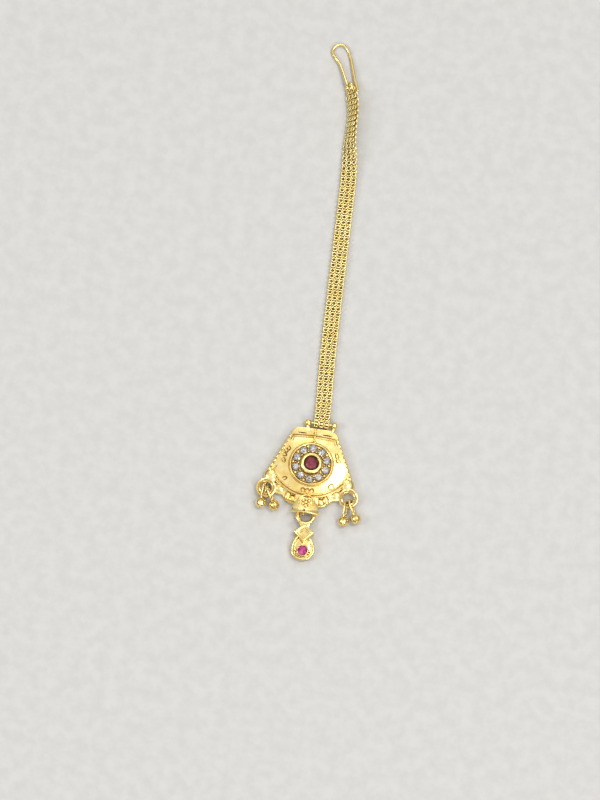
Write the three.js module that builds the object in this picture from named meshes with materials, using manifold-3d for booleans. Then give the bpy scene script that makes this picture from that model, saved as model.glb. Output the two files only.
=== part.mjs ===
// Maang tikka: a forehead ornament with a chain and a hair hook, in millimetres, +Z up.
// It lies on its back. X runs across the plate and +Y from the drop towards the hair hook.
// While it is laid out, the centre stone stands on X = 0, Y = 0 and the backs lie on Z = 0.

import * as THREE from 'three';
import { ConvexGeometry } from 'three/addons/geometries/ConvexGeometry.js';
import { LoftGeometry } from 'three/addons/geometries/LoftGeometry.js';
import { mergeVertices } from 'three/addons/utils/BufferGeometryUtils.js';
import Module from 'manifold-3d';

const wasm = await Module();
wasm.setup();

// ---- Driving dimensions ----

// Sides of the large round forms, of buttons and studs, and of small beads.
const ROUND = 30;
const STUD_SIDES = 12;
const BEAD_SIDES = 6;
// A height above everything, for cuts that run out through the top.
const ABOVE = 5;

// Plate: straight slanted sides between round shoulders and one large lower arc.
const PLATE = {
  thick: 1.4, bevel: 0.2,
  topY: 9.2, shoulderX: 3.3, shoulderY: 7.0, shoulderOut: 2.4,
  sideX: 9.9, sideY: -2.2,
  arcY: 2.6, arcRadius: 10.9, arcEndX: 8.4,
};
// Domed field inside the plate's border, and the ridge round it.
const FIELD = {
  low: 0.6, crownZ: 2.9, curve: 34.3, reach: 12.5,
  topY: 7.0, cornerX: 4.9, cornerY: 6.75,
  arcRadius: 10.1, arcEndX: 8.9,
  ridgeWide: 0.5, ridgeTall: 0.14,
};
const GRANULES = { count: 9, radius: 0.525, z: 1.2, top: [5.75, 6.7], bottom: [9.8, -2.0] };
const LOBE = { x: 9.0, y: -3.55, radius: 1.85, tall: 1.9 };
const CORNER_RINGS = {
  left: [-9.9, -6.75], right: [9.8, -6.75],
  outer: 2.4, inner: 1.3, low: 0.8, high: 1.6, ease: 0.2, sides: 20,
};
// Petals of the scalloped lower edge, on both sides of the middle.
const PETALS = [
  { x: 6.75, y: -6.35, across: 1.5, along: 1.2, turn: 20, tall: 1.6 },
  { x: 4.55, y: -7.85, across: 0.95, along: 1.35, turn: 15, tall: 1.7 },
  { x: 3.3, y: -8.65, across: 1.3, along: 1.0, turn: 0, tall: 1.9 },
];

// Round cluster: collar, stone floor and centre bezel.
const CLUSTER = {
  rootZ: 1.5, collarOuter: 5.15, collarInner: 4.75, collarZ: 3.1, floorZ: 2.85, ease: 0.25,
  bezelOuter: 2.55, bezelInner: 1.85, bezelZ: 4.25, ledgeZ: 3.6, ledgeInner: 1.5, wellZ: 2.6,
};
const CENTRE_STONE = { radius: 1.72, girdleZ: 3.95, crown: 0.5, pavilion: 1.0 };
const RING_STONES = { count: 10, circle: 3.7, radius: 0.9, girdleZ: 3.3, crown: 0.3, pavilion: 0.75 };
const STONE_WELL = { radius: 0.75, z: 2.35, sides: 10 };
const PRONGS = { outerCircle: 4.25, outerRadius: 0.35, innerCircle: 3.05, innerRadius: 0.25, z: 3.02 };

// Bell-shaped finial below the plate, open behind for the drop's loop.
const FINIAL = {
  neckHalf: 3.0, neckY: -10.1, startY: -7.6, backEndY: -9.45, backZ: 2.2,
  tipX: 3.65, tipY: -12.3, hemY: -12.0,
  crownZ: 2.9, fall: 0.06, wall: 0.55, bandHalf: 4,
};
const BOSS = { y: -9.3, across: 1.75, along: 1.6, low: 1.8, high: 3.15 };
const ROSETTE = { count: 6, y: -9.4, circle: 0.78, radius: 0.42, z: 3.15 };
const EYE = { x: -0.35, thick: 0.7, nearY: -9.2, farY: -12.4, low: 0.05, high: 2.85, wall: 0.5, bevel: 0.12 };

// Rod with a ball stud at each end, which carries the chain.
const ROD = { y: 10.4, z: 1.3, radius: 0.3, leftX: -2.0, rightX: 4.3, leftBall: 0.85, rightBall: 0.8 };
const LUGS = { startY: 8.2, tall: [0.5, 1.7], left: [-2.5, -1.3], right: [3.5, 4.6] };

// Flat chain: outer width and thickness, and the roll that turns round the rod.
const CHAIN = { width: 3.9, thick: 1.2, step: 1.9, rollOuter: 1.0, rollInner: 0.6, ridge: 4 };
// Route of the chain's middle from the rod to the hook. turn is the angle, in degrees, by
// which the right edge is raised, and lift what the middle adds to lying flat.
const CHAIN_ROUTE = [
  { y: 10.4, x: 1.15, turn: 0, width: 3.9, lift: 0.7 },
  { y: 13.0, x: 1.14, turn: 0, width: 3.9, lift: 0.3 },
  { y: 16.0, x: 1.05, turn: 0, width: 3.9, lift: 0 },
  { y: 25.6, x: 0.62, turn: 0, width: 3.9, lift: 0 },
  { y: 33.9, x: 0.4, turn: 0, width: 3.9, lift: 0 },
  { y: 60.7, x: 0.03, turn: 0, width: 3.9, lift: 0 },
  { y: 70.0, x: -0.12, turn: 4, width: 3.9, lift: 0 },
  { y: 75.1, x: -0.4, turn: 26, width: 3.9, lift: 0 },
  { y: 79.2, x: -0.93, turn: 48, width: 3.9, lift: 0 },
  { y: 83.3, x: -1.09, turn: 60, width: 3.9, lift: 0 },
  { y: 87.5, x: -1.2, turn: 60, width: 3.9, lift: 0 },
  { y: 90.3, x: -1.68, turn: 54, width: 3.9, lift: 0 },
  { y: 91.5, x: -2.05, turn: 51, width: 3.6, lift: 0.1 },
  { y: 92.8, x: -2.5, turn: 48, width: 2.4, lift: 0.4 },
];

// Hair hook: one round wire, and the cap that is soldered over the chain's end.
const HOOK_WIRE = { radius: 0.365, sides: 8, steps: 32 };
const HOOK_ROUTE = [
  { x: -3.3, y: 93.7, z: 1.6 },
  { x: -4.2, y: 95.7, z: 1.25 },
  { x: -5.05, y: 97.6, z: 0.95 },
  { x: -6.0, y: 99.3, z: 0.7 },
  { x: -7.2, y: 100.7, z: 0.5 },
  { x: -7.9, y: 101.95, z: 0.4 },
  { x: -7.5, y: 103.25, z: 0.37 },
  { x: -6.35, y: 103.9, z: 0.37 },
  { x: -5.15, y: 103.6, z: 0.37 },
  { x: -4.2, y: 102.6, z: 0.37 },
  { x: -3.5, y: 101.1, z: 0.4 },
  { x: -2.9, y: 99.3, z: 0.5 },
  { x: -2.2, y: 97.1, z: 0.65 },
  { x: -0.8, y: 93.2, z: 0.9 },
];
const HOOK_CAP = { x: -2.8, y: 94.0, z: 1.6, across: 1.2, along: 0.95, deep: 0.75, turn: -48, lean: 20 };

// Drop: loop, diamond cap and teardrop. Its own Y is 0 at the loop's centre and falls away from it.
const DROP = { x: 0.3, y: -12.26, lean: 2.3, back: 0.1 };
const DROP_LOOP = { circle: 1.93, radius: 0.5, z: 1.1 };
const DROP_NECK = { topY: -1.7, topHalf: 1.5, lowY: -3.3, lowHalf: 1.2, low: 0.5, high: 1.5, bevel: 0.15 };
const DIAMOND = { topY: -2.3, sideY: -4.25, half: 2.5, lowY: -6.75, high: 2.1, bevel: 0.45 };
const TEAR = { apexY: -3.0, wideY: -8.5, half: 2.82, lowY: -11.0, flare: 0.9, high: 1.3, bevel: 0.25 };
const TEAR_RIM = { low: 0.9, high: 1.6, scale: 0.84 };
const DROP_STONE = { y: -8.6, radius: 1.2, girdleZ: 1.75, crown: 0.35, pavilion: 0.65 };
const DROP_SEAT = { outer: 1.5, inner: 1.05, low: 0.5, high: 1.5, ease: 0.15, wellZ: 0.8, sides: 20 };

// Ball drops on wire links, two in each corner ring: ball centre and the link's far end.
const GHUNGROO = { ball: 1.3, wire: 0.25, reach: 4.8, half: 1.0, tilt: 70, sides: 14, steps: 18 };
const GHUNGROOS = {
  ghungroo_left_outer: { ball: [-10.7, -10.6], end: [-10.15, -5.83] },
  ghungroo_left_inner: { ball: [-7.5, -10.8], end: [-9.51, -6.44] },
  ghungroo_right_inner: { ball: [9.35, -12.5], end: [9.55, -7.7] },
  ghungroo_right_outer: { ball: [12.2, -11.5], end: [10.25, -7.11] },
};

// ---- Finishes ----

const gold = { color: 0xe6c566, roughness: 0.28, metalness: 1 };
const paleGold = { color: 0xeed890, roughness: 0.4, metalness: 1 };
const red = { color: 0x7a1230, roughness: 0.05, metalness: 0 };
const clear = { color: 0xe8e8f0, roughness: 0.02, metalness: 0 };
const pink = { color: 0xc02a80, roughness: 0.05, metalness: 0 };

// ---- Solids and meshes ----

const rad = THREE.MathUtils.degToRad;
const { min, max, cos, sin, acos, sqrt, PI } = Math;

// The geometry with shared vertices merged, collapsed triangles dropped and faces turned outwards.
function welded(geometry) {
  const bare = new THREE.BufferGeometry();
  bare.setAttribute('position', geometry.attributes.position);
  bare.setIndex(geometry.index);
  const merged = mergeVertices(bare, 1e-4);
  const from = merged.index.array;
  const corner = [0, 1, 2].map(() => new THREE.Vector3());
  const index = [];
  let volume = 0;
  for (let i = 0; i < from.length; i += 3) {
    const [a, b, c] = from.slice(i, i + 3);
    if (a === b || b === c || c === a) continue;
    index.push(a, b, c);
    [a, b, c].forEach((vertex, k) => corner[k].fromBufferAttribute(merged.attributes.position, vertex));
    volume += corner[0].dot(corner[1].cross(corner[2]));
  }
  merged.setIndex(volume < 0 ? index.reverse() : index);
  return merged;
}

function solidOf(geometry) {
  const { attributes, index } = welded(geometry);
  return new wasm.Manifold(new wasm.Mesh({
    numProp: 3,
    vertProperties: new Float32Array(attributes.position.array),
    triVerts: new Uint32Array(index.array),
  }));
}

const join = (...geometries) => geometries.map(solidOf).reduce((all, next) => all.add(next));

function piece(name, solid, finish) {
  const { vertProperties, triVerts } = solid.getMesh();
  const geometry = new THREE.BufferGeometry();
  geometry.setAttribute('position', new THREE.BufferAttribute(vertProperties, 3));
  geometry.setIndex(new THREE.BufferAttribute(triVerts, 1));
  geometry.computeVertexNormals();
  const mesh = new THREE.Mesh(geometry, new THREE.MeshStandardMaterial(finish));
  mesh.name = name;
  return mesh;
}

// ---- Outlines ----

function arc(x, y, across, along, fromDeg, toDeg, steps) {
  const points = [];
  for (let i = 0; i <= steps; i++) {
    const angle = rad(fromDeg + (toDeg - fromDeg) * i / steps);
    points.push(new THREE.Vector2(x + across * cos(angle), y + along * sin(angle)));
  }
  return points;
}

const at = (x, y) => new THREE.Vector2(x, y);

// A closed outline from its right half, given from the bottom middle up to the top middle.
function mirrored(half) {
  const left = half.filter((point) => point.x > 1e-6).map((point) => at(-point.x, point.y));
  return [...half, ...left.reverse()];
}

// A convex outline moved outwards by a constant distance.
function grown(outline, by) {
  return outline.map((point, i) => {
    const before = outline.at(i - 1);
    const after = outline[(i + 1) % outline.length];
    const into = point.clone().sub(before).normalize();
    const onward = after.clone().sub(point).normalize();
    const out = at(into.y + onward.y, -into.x - onward.x).normalize();
    return point.clone().addScaledVector(out, by / out.dot(at(into.y, -into.x)));
  });
}

// Angle at which the plate's lower arc reaches a given X.
const arcEnd = (x, radius) => 360 - THREE.MathUtils.radToDeg(acos(x / radius));

function plateOutline() {
  return mirrored([
    ...arc(0, PLATE.arcY, PLATE.arcRadius, PLATE.arcRadius, 270, arcEnd(PLATE.arcEndX, PLATE.arcRadius), 7),
    at(PLATE.sideX, PLATE.sideY),
    ...arc(PLATE.shoulderX, PLATE.shoulderY, PLATE.shoulderOut, PLATE.topY - PLATE.shoulderY, 0, 90, 5),
  ]);
}

function fieldOutline() {
  return mirrored([
    ...arc(0, PLATE.arcY, FIELD.arcRadius, FIELD.arcRadius, 270, arcEnd(FIELD.arcEndX, FIELD.arcRadius), 8),
    at(FIELD.cornerX, FIELD.cornerY),
    at(0, FIELD.topY),
  ]);
}

function tearOutline() {
  const half = arc(0, TEAR.wideY, TEAR.half, TEAR.wideY - TEAR.lowY, 270, 360, 6);
  const rise = TEAR.apexY - TEAR.wideY;
  const steps = 5;
  for (let i = 1; i <= steps; i++) {
    const x = TEAR.half * sin(PI / 2 * (1 - i / steps) ** TEAR.flare);
    half.push(at(x, TEAR.wideY + rise * i / steps));
  }
  return mirrored(half);
}

// ---- Basic geometries ----

function prism(outline, low, high, bevel = 0, hole = null) {
  const shape = new THREE.Shape(outline);
  if (hole) shape.holes.push(new THREE.Path(hole));
  const settings = {
    depth: high - low - 2 * bevel, bevelEnabled: bevel > 0, bevelSegments: 1,
    bevelThickness: bevel, bevelSize: bevel, bevelOffset: -bevel,
  };
  return new THREE.ExtrudeGeometry(shape, settings).translate(0, 0, low + bevel);
}

// A solid of revolution about Z from [radius, z] pairs, listed from the bottom up.
function turned(profile, sides) {
  const points = profile.map(([radius, z]) => at(radius, z));
  return new THREE.LatheGeometry(points, sides).rotateX(PI / 2);
}

// A round space from a given height up through the top, to be cut away.
const hollow = (radius, z, sides) => turned([[0, z], [radius, z], [radius, ABOVE], [0, ABOVE]], sides);

// A flat-backed button with a rounded top.
function button(radius, tall, sides = STUD_SIDES) {
  const profile = [
    [0, 0], [radius - 0.2, 0], [radius, 0.2], [radius, 0.55 * tall],
    [0.88 * radius, 0.78 * tall], [0.6 * radius, 0.94 * tall], [0, tall],
  ];
  return turned(profile, sides);
}

const ball = (radius, x, y, z, sides = 8) =>
  new THREE.SphereGeometry(radius, sides, max(4, sides / 2 + 1)).rotateX(PI / 2).translate(x, y, z);

const block = (x0, x1, y0, y1, z0, z1) =>
  new THREE.BoxGeometry(x1 - x0, y1 - y0, z1 - z0).translate((x0 + x1) / 2, (y0 + y1) / 2, (z0 + z1) / 2);

// A rod along X.
const crossRod = (radius, x0, x1, y, z) =>
  new THREE.CylinderGeometry(radius, radius, x1 - x0, 16).rotateZ(PI / 2).translate((x0 + x1) / 2, y, z);

function wire(points, radius, sides, steps) {
  const section = new THREE.Shape(arc(0, 0, radius, radius, 0, 360 - 360 / sides, sides - 1));
  const extrudePath = new THREE.CatmullRomCurve3(points, false, 'centripetal');
  return new THREE.ExtrudeGeometry(section, { extrudePath, steps, bevelEnabled: false });
}

// A disc whose top is a shallow cap of a large ball.
function domedDisc(crownZ) {
  const rings = 4;
  const profile = [[0, FIELD.low / 2], [FIELD.reach, FIELD.low / 2]];
  for (let i = rings; i >= 0; i--) {
    const radius = FIELD.reach * i / rings;
    profile.push([radius, crownZ - FIELD.curve + sqrt(FIELD.curve ** 2 - radius ** 2)]);
  }
  return turned(profile, ROUND);
}

// A round faceted stone with its girdle on Z = 0.
function stone({ radius, crown, pavilion }) {
  const facets = 8;
  const points = [new THREE.Vector3(0, 0, -pavilion)];
  const ring = (share, z, offset) => {
    for (let i = 0; i < facets; i++) {
      const angle = 2 * PI * (i + offset) / facets;
      points.push(new THREE.Vector3(share * radius * cos(angle), share * radius * sin(angle), z));
    }
  };
  ring(0.56, crown, 0);
  ring(0.8, 0.62 * crown, 0.5);
  ring(1, 0.02, 0);
  ring(1, 0.02, 0.5);
  ring(1, -0.02, 0);
  ring(1, -0.02, 0.5);
  return new ConvexGeometry(points);
}

// ---- Plate ----

function domedField() {
  const field = fieldOutline();
  const disc = solidOf(domedDisc(FIELD.crownZ));
  const raised = solidOf(domedDisc(FIELD.crownZ + FIELD.ridgeTall));
  const border = prism(grown(field, FIELD.ridgeWide), FIELD.low, ABOVE, 0, field);
  return solidOf(prism(field, FIELD.low, ABOVE)).intersect(disc).add(solidOf(border).intersect(raised));
}

function granuleRows() {
  const row = [];
  for (let i = 0; i < GRANULES.count; i++) {
    const share = i / (GRANULES.count - 1);
    const x = GRANULES.top[0] + share * (GRANULES.bottom[0] - GRANULES.top[0]);
    const y = GRANULES.top[1] + share * (GRANULES.bottom[1] - GRANULES.top[1]);
    row.push(ball(GRANULES.radius, x, y, GRANULES.z), ball(GRANULES.radius, -x, y, GRANULES.z));
  }
  return join(...row);
}

function lowerPetals() {
  const petals = [];
  for (const { x, y, across, along, turn, tall } of PETALS) {
    for (const side of [-1, 1]) {
      const petal = button(1, tall).scale(across, along, 1).rotateZ(rad(side * turn));
      petals.push(petal.translate(side * x, y, 0));
    }
  }
  return join(...petals);
}

function corners() {
  const { outer, inner, low, high, ease } = CORNER_RINGS;
  const section = [
    [inner, low + ease], [inner + ease, low], [outer - ease, low], [outer, low + ease],
    [outer, high - ease], [outer - ease, high], [inner + ease, high], [inner, high - ease],
    [inner, low + ease],
  ];
  const parts = [];
  for (const [x, y] of [CORNER_RINGS.left, CORNER_RINGS.right]) {
    parts.push(turned(section, CORNER_RINGS.sides).translate(x, y, 0));
    parts.push(button(LOBE.radius, LOBE.tall).translate(x < 0 ? -LOBE.x : LOBE.x, LOBE.y, 0));
  }
  return join(...parts);
}

function cluster() {
  const c = CLUSTER;
  const seat = turned([
    [0, c.rootZ], [c.collarOuter, c.rootZ], [c.collarOuter, c.collarZ], [c.collarInner, c.collarZ],
    [c.collarInner, c.floorZ], [c.bezelOuter, c.floorZ], [c.bezelOuter, c.bezelZ - c.ease],
    [c.bezelOuter - c.ease, c.bezelZ], [c.bezelInner, c.bezelZ], [c.bezelInner, c.ledgeZ],
    [c.ledgeInner, c.ledgeZ], [c.ledgeInner, c.wellZ], [0, c.wellZ],
  ], ROUND);
  const beads = [];
  const wells = [];
  for (let i = 0; i < RING_STONES.count; i++) {
    const stoneAngle = 2 * PI * i / RING_STONES.count + PI / 2;
    const gapAngle = stoneAngle + PI / RING_STONES.count;
    for (const [radius, circle] of [
      [PRONGS.outerRadius, PRONGS.outerCircle], [PRONGS.innerRadius, PRONGS.innerCircle],
    ]) {
      beads.push(ball(radius, circle * cos(gapAngle), circle * sin(gapAngle), PRONGS.z, BEAD_SIDES));
    }
    const well = hollow(STONE_WELL.radius, STONE_WELL.z, STONE_WELL.sides);
    const { circle } = RING_STONES;
    wells.push(well.translate(circle * cos(stoneAngle), circle * sin(stoneAngle), 0));
  }
  return { metal: join(seat, ...beads), stoneWells: join(...wells) };
}

// Space under the centre bezel's opening, cut through the dome.
const centreWell = () => solidOf(hollow(CLUSTER.ledgeInner, CLUSTER.wellZ, ROUND));

function finial() {
  const f = FINIAL;
  const outline = mirrored([
    at(0, f.hemY), at(f.tipX, f.tipY), at(f.neckHalf, f.neckY), at(f.neckHalf, f.startY),
  ]);
  // The bell's wall: an arched band across X, drawn along Y.
  const under = [];
  for (let x = -f.bandHalf; x <= f.bandHalf; x++) under.push(at(x, f.crownZ - f.wall - f.fall * x * x));
  const top = under.map((point) => at(point.x, point.y + f.wall)).reverse();
  const band = prism([...under, ...top], -f.startY, -f.tipY + 1).rotateX(PI / 2);
  const bell = solidOf(prism(outline, 0, ABOVE)).intersect(solidOf(band));
  const neck = block(-f.neckHalf, f.neckHalf, f.backEndY, f.startY, PLATE.bevel, f.backZ);
  const boss = button(1, BOSS.high - BOSS.low).scale(BOSS.across, BOSS.along, 1);
  const beads = [ball(ROSETTE.radius, 0, ROSETTE.y, ROSETTE.z, BEAD_SIDES)];
  for (let i = 0; i < ROSETTE.count; i++) {
    const angle = 2 * PI * (i + 0.5) / ROSETTE.count;
    const y = ROSETTE.y + ROSETTE.circle * sin(angle);
    beads.push(ball(ROSETTE.radius, ROSETTE.circle * cos(angle), y, ROSETTE.z, BEAD_SIDES));
  }
  return bell.add(join(neck, boss.translate(0, BOSS.y, BOSS.low), ...beads, dropEye()));
}

// Upright oval eye that the drop's loop runs through.
function dropEye() {
  const half = (EYE.high - EYE.low) / 2;
  const mid = (EYE.high + EYE.low) / 2;
  const oval = (radius) => [
    ...arc(EYE.nearY - half, mid, radius, radius, -90, 90, 8),
    ...arc(EYE.farY + half, mid, radius, radius, 90, 270, 8),
  ];
  const link = prism(oval(half), -EYE.thick / 2, EYE.thick / 2, EYE.bevel, oval(half - EYE.wall));
  // The outline's X is the eye's Y and its Y the eye's Z.
  const toSide = new THREE.Matrix4().makeBasis(
    new THREE.Vector3(0, 1, 0), new THREE.Vector3(0, 0, 1), new THREE.Vector3(1, 0, 0));
  return link.applyMatrix4(toSide).translate(EYE.x, 0, 0);
}

function chainRod() {
  const r = ROD;
  return join(
    crossRod(r.radius, r.leftX, r.rightX, r.y, r.z),
    ball(r.leftBall, r.leftX, r.y, r.z, STUD_SIDES),
    ball(r.rightBall, r.rightX, r.y, r.z, STUD_SIDES),
    ...[LUGS.left, LUGS.right].map(([x0, x1]) => block(x0, x1, LUGS.startY, r.y, ...LUGS.tall)),
  );
}

function pendantPlate() {
  const slab = solidOf(prism(plateOutline(), 0, PLATE.thick, PLATE.bevel));
  const { metal, stoneWells } = cluster();
  const solid = [domedField(), granuleRows(), corners(), lowerPetals(), metal, finial(), chainRod()]
    .reduce((all, next) => all.add(next), slab)
    .subtract(stoneWells)
    .subtract(centreWell());
  return piece('pendant_plate', solid, paleGold);
}

// ---- Stones ----

function setStone(name, cut, x, y, finish) {
  const mesh = piece(name, solidOf(stone(cut)), finish);
  mesh.position.set(x, y, cut.girdleZ);
  return mesh;
}

function clusterStones() {
  const stones = [setStone('centre_stone', CENTRE_STONE, 0, 0, red)];
  for (let i = 0; i < RING_STONES.count; i++) {
    const angle = PI / 2 - 2 * PI * i / RING_STONES.count;
    const name = `ring_stone_${String(i + 1).padStart(2, '0')}`;
    const { circle } = RING_STONES;
    stones.push(setStone(name, RING_STONES, circle * cos(angle), circle * sin(angle), clear));
  }
  return stones;
}

// ---- Chain ----

// Value of one column of the route at a given Y, on a smooth curve through the rows.
function routeValue(column, y) {
  const rows = CHAIN_ROUTE;
  const found = rows.findIndex((row) => row.y > y);
  const next = found < 0 ? rows.length - 1 : max(1, found);
  const [a, b] = [rows[next - 1], rows[next]];
  const slope = (i) => {
    const [low, high] = [rows[max(0, i - 1)], rows[min(rows.length - 1, i + 1)]];
    return (high[column] - low[column]) / (high.y - low.y);
  };
  const span = b.y - a.y;
  const t = (y - a.y) / span;
  const s = 1 - t;
  return a[column] * s * s * (1 + 2 * t) + b[column] * t * t * (3 - 2 * t)
    + span * t * s * (slope(next - 1) * s - slope(next) * t);
}

// The chain's cross-section at a given Y: a flat band with round edges, turned about its route.
function chainSection(y) {
  const turn = rad(max(0, routeValue('turn', y)));
  const width = routeValue('width', y);
  const heading = (routeValue('x', y + 0.05) - routeValue('x', y - 0.05)) / 0.1;
  const aside = new THREE.Vector3(1, -heading, 0).normalize();
  const flat = (width - CHAIN.thick) / 2;
  const z = flat * sin(turn) + CHAIN.thick / 2 + max(0, routeValue('lift', y));
  const round = CHAIN.thick / 2;
  const section = [
    ...arc(-flat, 0, round, round, 270, 90, CHAIN.ridge),
    ...arc(flat, 0, round, round, 90, -90, CHAIN.ridge),
  ];
  return section.map((point) => {
    const along = point.x * cos(turn) - point.y * sin(turn);
    const up = point.x * sin(turn) + point.y * cos(turn);
    return new THREE.Vector3(routeValue('x', y), y, z + up).addScaledVector(aside, along);
  });
}

function meshChain() {
  const start = CHAIN_ROUTE[0];
  const end = CHAIN_ROUTE.at(-1);
  const steps = Math.round((end.y - start.y) / CHAIN.step);
  const sections = [];
  for (let i = 0; i <= steps; i++) sections.push(chainSection(start.y + (end.y - start.y) * i / steps));
  const band = new LoftGeometry(sections, { capStart: true, capEnd: true });
  const half = CHAIN.width / 2;
  const roll = crossRod(CHAIN.rollOuter, start.x - half, start.x + half, ROD.y, ROD.z);
  const hole = crossRod(CHAIN.rollInner, start.x - half - 1, start.x + half + 1, ROD.y, ROD.z);
  return piece('mesh_chain', join(band, roll).subtract(solidOf(hole)), gold);
}

// ---- Hair hook ----

function hairHook() {
  const route = HOOK_ROUTE.map(({ x, y, z }) => new THREE.Vector3(x, y, z));
  const h = HOOK_CAP;
  const cap = ball(1, 0, 0, 0, STUD_SIDES).scale(h.across, h.along, h.deep);
  cap.rotateY(rad(h.turn)).rotateZ(rad(h.lean));
  const bent = wire(route, HOOK_WIRE.radius, HOOK_WIRE.sides, HOOK_WIRE.steps);
  return piece('hair_hook', join(bent, cap.translate(h.x, h.y, h.z)), gold);
}

// ---- Drop ----

function dropBody() {
  const tear = tearOutline();
  const centre = at(0, DROP_STONE.y);
  const inner = tear.map((point) => point.clone().sub(centre).multiplyScalar(TEAR_RIM.scale).add(centre));
  const diamond = mirrored([at(0, DIAMOND.lowY), at(DIAMOND.half, DIAMOND.sideY), at(0, DIAMOND.topY)]);
  const n = DROP_NECK;
  const neck = [at(-n.lowHalf, n.lowY), at(n.lowHalf, n.lowY), at(n.topHalf, n.topY), at(-n.topHalf, n.topY)];
  const s = DROP_SEAT;
  const metal = join(
    new THREE.TorusGeometry(DROP_LOOP.circle, DROP_LOOP.radius, 8, ROUND).translate(0, 0, DROP_LOOP.z),
    prism(neck, n.low, n.high, n.bevel),
    prism(diamond, n.low, DIAMOND.high, DIAMOND.bevel),
    prism(tear, DROP.back, TEAR.high, TEAR.bevel),
    prism(tear, TEAR_RIM.low, TEAR_RIM.high, 0, inner),
    turned([
      [0, s.low], [s.outer, s.low], [s.outer, s.high - s.ease], [s.outer - s.ease, s.high], [0, s.high],
    ], s.sides).translate(0, DROP_STONE.y, 0),
  );
  return metal.subtract(solidOf(hollow(s.inner, s.wellZ, s.sides).translate(0, DROP_STONE.y, 0)));
}

function drop() {
  const group = new THREE.Group();
  group.position.set(DROP.x, DROP.y, 0);
  group.rotation.z = rad(DROP.lean);
  group.add(piece('drop', dropBody(), gold));
  group.add(setStone('drop_stone', DROP_STONE, 0, DROP_STONE.y, pink));
  return group;
}

// ---- Ball drops ----

// A ball with a wire link that leaves it along +Y, in the X-Y plane.
function ghungroo() {
  const g = GHUNGROO;
  const side = [at(0.3 * g.half, 0.8), at(0.85 * g.half, 1.9), at(g.half, 3.0)];
  const bow = arc(0, g.reach - g.half, g.half, g.half, 0, 180, 4);
  const path = [...side, ...bow, ...side.map((point) => at(-point.x, point.y)).reverse()];
  const link = wire(path.map((point) => new THREE.Vector3(point.x, point.y, 0)), g.wire, BEAD_SIDES, g.steps);
  return join(ball(g.ball, 0, 0, 0, g.sides), link);
}

function ghungroos() {
  return Object.entries(GHUNGROOS).map(([name, { ball: [x, y], end }]) => {
    const mesh = piece(name, ghungroo(), gold);
    mesh.position.set(x, y, GHUNGROO.ball);
    mesh.rotation.order = 'ZYX';
    mesh.rotation.set(0, rad(GHUNGROO.tilt), Math.atan2(x - end[0], end[1] - y));
    return mesh;
  });
}

// ---- The whole ornament, on its back and centred on its own footprint ----

const tikka = new THREE.Group();
tikka.add(hairHook(), meshChain(), pendantPlate(), ...clusterStones(), drop(), ...ghungroos());
const box = new THREE.Box3().setFromObject(tikka, true);
tikka.position.set(-(box.min.x + box.max.x) / 2, -(box.min.y + box.max.y) / 2, -box.min.z);

export default tikka;
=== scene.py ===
"""Looks of the maang tikka: every metal and stone surface, a pale table, studio light and the camera."""

import math
from contextlib import contextmanager

import bmesh
import bpy
from mathutils import Matrix, Vector


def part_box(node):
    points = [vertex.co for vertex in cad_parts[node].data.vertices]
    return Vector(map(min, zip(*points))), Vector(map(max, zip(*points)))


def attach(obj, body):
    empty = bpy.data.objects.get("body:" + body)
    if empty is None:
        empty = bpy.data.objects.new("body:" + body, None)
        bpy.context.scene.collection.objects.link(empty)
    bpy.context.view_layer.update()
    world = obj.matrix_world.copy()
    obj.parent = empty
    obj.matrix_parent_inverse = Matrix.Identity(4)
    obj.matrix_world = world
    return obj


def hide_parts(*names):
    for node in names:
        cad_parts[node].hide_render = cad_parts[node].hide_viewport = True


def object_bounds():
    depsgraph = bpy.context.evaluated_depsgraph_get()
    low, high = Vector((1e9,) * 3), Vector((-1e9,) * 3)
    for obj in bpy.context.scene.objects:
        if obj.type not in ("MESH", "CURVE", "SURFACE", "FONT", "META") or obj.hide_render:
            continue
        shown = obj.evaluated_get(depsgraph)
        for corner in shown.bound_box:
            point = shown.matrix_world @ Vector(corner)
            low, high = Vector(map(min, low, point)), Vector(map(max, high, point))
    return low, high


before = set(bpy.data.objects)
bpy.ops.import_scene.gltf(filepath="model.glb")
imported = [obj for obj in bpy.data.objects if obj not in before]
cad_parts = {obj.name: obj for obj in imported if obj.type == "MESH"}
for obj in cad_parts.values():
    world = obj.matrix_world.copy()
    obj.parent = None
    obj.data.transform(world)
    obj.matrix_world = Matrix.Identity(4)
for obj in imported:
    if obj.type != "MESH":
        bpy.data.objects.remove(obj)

CAD_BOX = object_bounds()
MM = 0.001
SMOOTH = math.radians(35)

# ---- Places taken from the frame, in millimetres ----


def box_mm(node):
    low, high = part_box(node)
    return low / MM, high / MM


def middle(node):
    low, high = box_mm(node)
    return (low + high) / 2


# The pieces are modelled with the centre stone's axis at X = 0, Y = 0, as the ornament is laid out.
HUB = middle("centre_stone")
HUB = Vector((HUB.x, HUB.y, 0))

# ---- Driving sizes, in millimetres ----

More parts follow.
